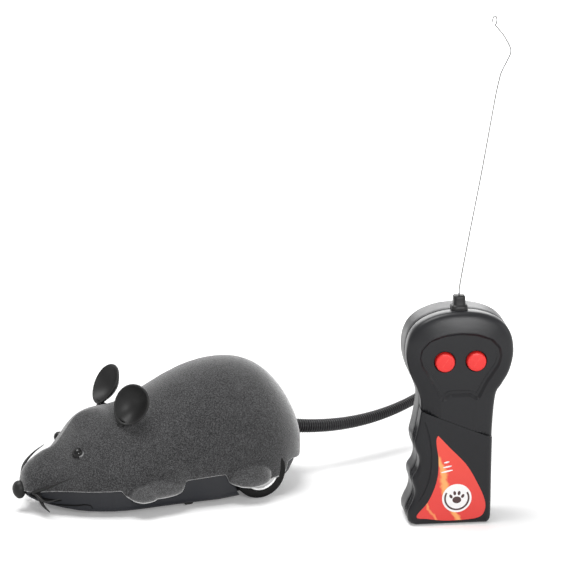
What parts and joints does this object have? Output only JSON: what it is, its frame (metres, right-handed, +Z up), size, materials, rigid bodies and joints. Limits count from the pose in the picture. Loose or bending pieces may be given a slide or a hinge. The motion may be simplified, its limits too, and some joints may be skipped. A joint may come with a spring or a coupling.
{
  "type": "robotic mouse cat toy",
  "caption": "Flocked toy mouse on a wheeled chassis with gear drive and turning front roller, beside its hand-held radio control with push buttons, battery doors and a wire antenna.",
  "frame": {"origin": "centre of the set's box, on the floor that the wheels and the remote control stand on", "axes": "+Z up; the mouse looks along -X; +Y is towards the far side of the mouse, the remote control stands on the -Y side with its front turned to -Y and a little to -X"},
  "size_m": [0.244, 0.1482, 0.2485],
  "materials": {
    "flock": "short grey flocking on plastic",
    "chassis": "fine matte",
    "rubber": "satin",
    "tyre": "ribbed, matte",
    "bead": "glossy",
    "case": "satin",
    "red": "satin gloss",
    "chrome": "bright",
    "steel": "drawn",
    "gear": "smooth",
    "board": "lacquered",
    "cell": "printed sleeve"
  },
  "bodies": {
    "toy_set": {"body_shell": "flock", "chassis": "chassis", "gear_frame": "chassis", "nose": "rubber", "ear_left": "rubber", "ear_right": "rubber", "whiskers_left": "rubber", "whiskers_right": "rubber", "tail": "rubber", "antenna_boot": "rubber", "eye_left": "bead", "eye_right": "bead", "remote_front": "case", "remote_grip_cover": "case", "remote_back": "case", "idler_pin": "steel", "drive_motor": "steel", "antenna_wire": "steel", "power_switch": "steel", "mouse_spring_1": "steel", "mouse_spring_2": "steel", "mouse_spring_3": "steel", "remote_spring_1": "steel", "remote_spring_2": "steel", "receiver_board": "board", "remote_board": "board", "mouse_cell_1": "cell", "mouse_cell_2": "cell", "mouse_cell_3": "cell", "remote_cell_1": "cell", "remote_cell_2": "cell"},
    "rear_wheels": {"rear_axle": "steel", "wheel_hub_left": "chrome", "wheel_hub_right": "chrome", "tyre_left": "tyre", "tyre_right": "tyre", "axle_gear": "gear"},
    "idler": {"idler_gear": "gear"},
    "motor_rotor": {"motor_pinion": "gear"},
    "front_turret": {"caster_turret": "chassis", "caster_pin": "steel"},
    "front_roller": {"caster_wheel": "gear"},
    "switch_slider": {"switch_knob": "rubber"},
    "mouse_door": {"battery_door": "chassis"},
    "remote_door": {"remote_battery_door": "case"},
    "forward_button": {"button_forward": "red"},
    "turn_button": {"button_turn": "red"}
  },
  "joints": [
    {"name": "rear_wheel_spin", "type": "hinge", "parent": "toy_set", "child": "rear_wheels", "pos_m": [-0.00335, 0.03534, 0.0135], "axis": [0, 1, 0], "continuous": true},
    {"name": "idler_spin", "type": "hinge", "parent": "toy_set", "child": "idler", "pos_m": [-0.00785, 0.03534, 0.02129], "axis": [0, 1, 0], "continuous": true},
    {"name": "motor_spin", "type": "hinge", "parent": "toy_set", "child": "motor_rotor", "pos_m": [-0.01676, 0.03534, 0.02255], "axis": [0, 1, 0], "continuous": true},
    {"name": "turret_swing", "type": "hinge", "parent": "toy_set", "child": "front_turret", "pos_m": [-0.09366, 0.03534, 0.008], "axis": [0, 0, 1], "range_deg": [0, 40]},
    {"name": "roller_spin", "type": "hinge", "parent": "front_turret", "child": "front_roller", "pos_m": [-0.09146, 0.03534, 0.0045], "axis": [0, 1, 0], "continuous": true},
    {"name": "switch_slide", "type": "slide", "parent": "toy_set", "child": "switch_slider", "axis": [1, 0, 0], "range_m": [0, 0.0025]},
    {"name": "mouse_door_hinge", "type": "hinge", "parent": "toy_set", "child": "mouse_door", "pos_m": [-0.02906, 0.03534, 0.0037], "axis": [0, -1, 0], "range_deg": [0, 60]},
    {"name": "remote_door_hinge", "type": "hinge", "parent": "toy_set", "child": "remote_door", "pos_m": [0.07522, -0.0436, 0.0041], "axis": [-0.9573, 0.289, 0], "range_deg": [0, 60]},
    {"name": "forward_press", "type": "slide", "parent": "toy_set", "child": "forward_button", "axis": [0.289, 0.9573, 0], "range_m": [0, 0.001], "stiffness_N_per_m": 600},
    {"name": "turn_press", "type": "slide", "parent": "toy_set", "child": "turn_button", "axis": [0.289, 0.9573, 0], "range_m": [0, 0.001], "stiffness_N_per_m": 600}
  ],
  "couplings": [
    {"joint": "idler_spin", "follows": "rear_wheel_spin", "ratio": -2},
    {"joint": "motor_spin", "follows": "rear_wheel_spin", "ratio": 4}
  ]
}
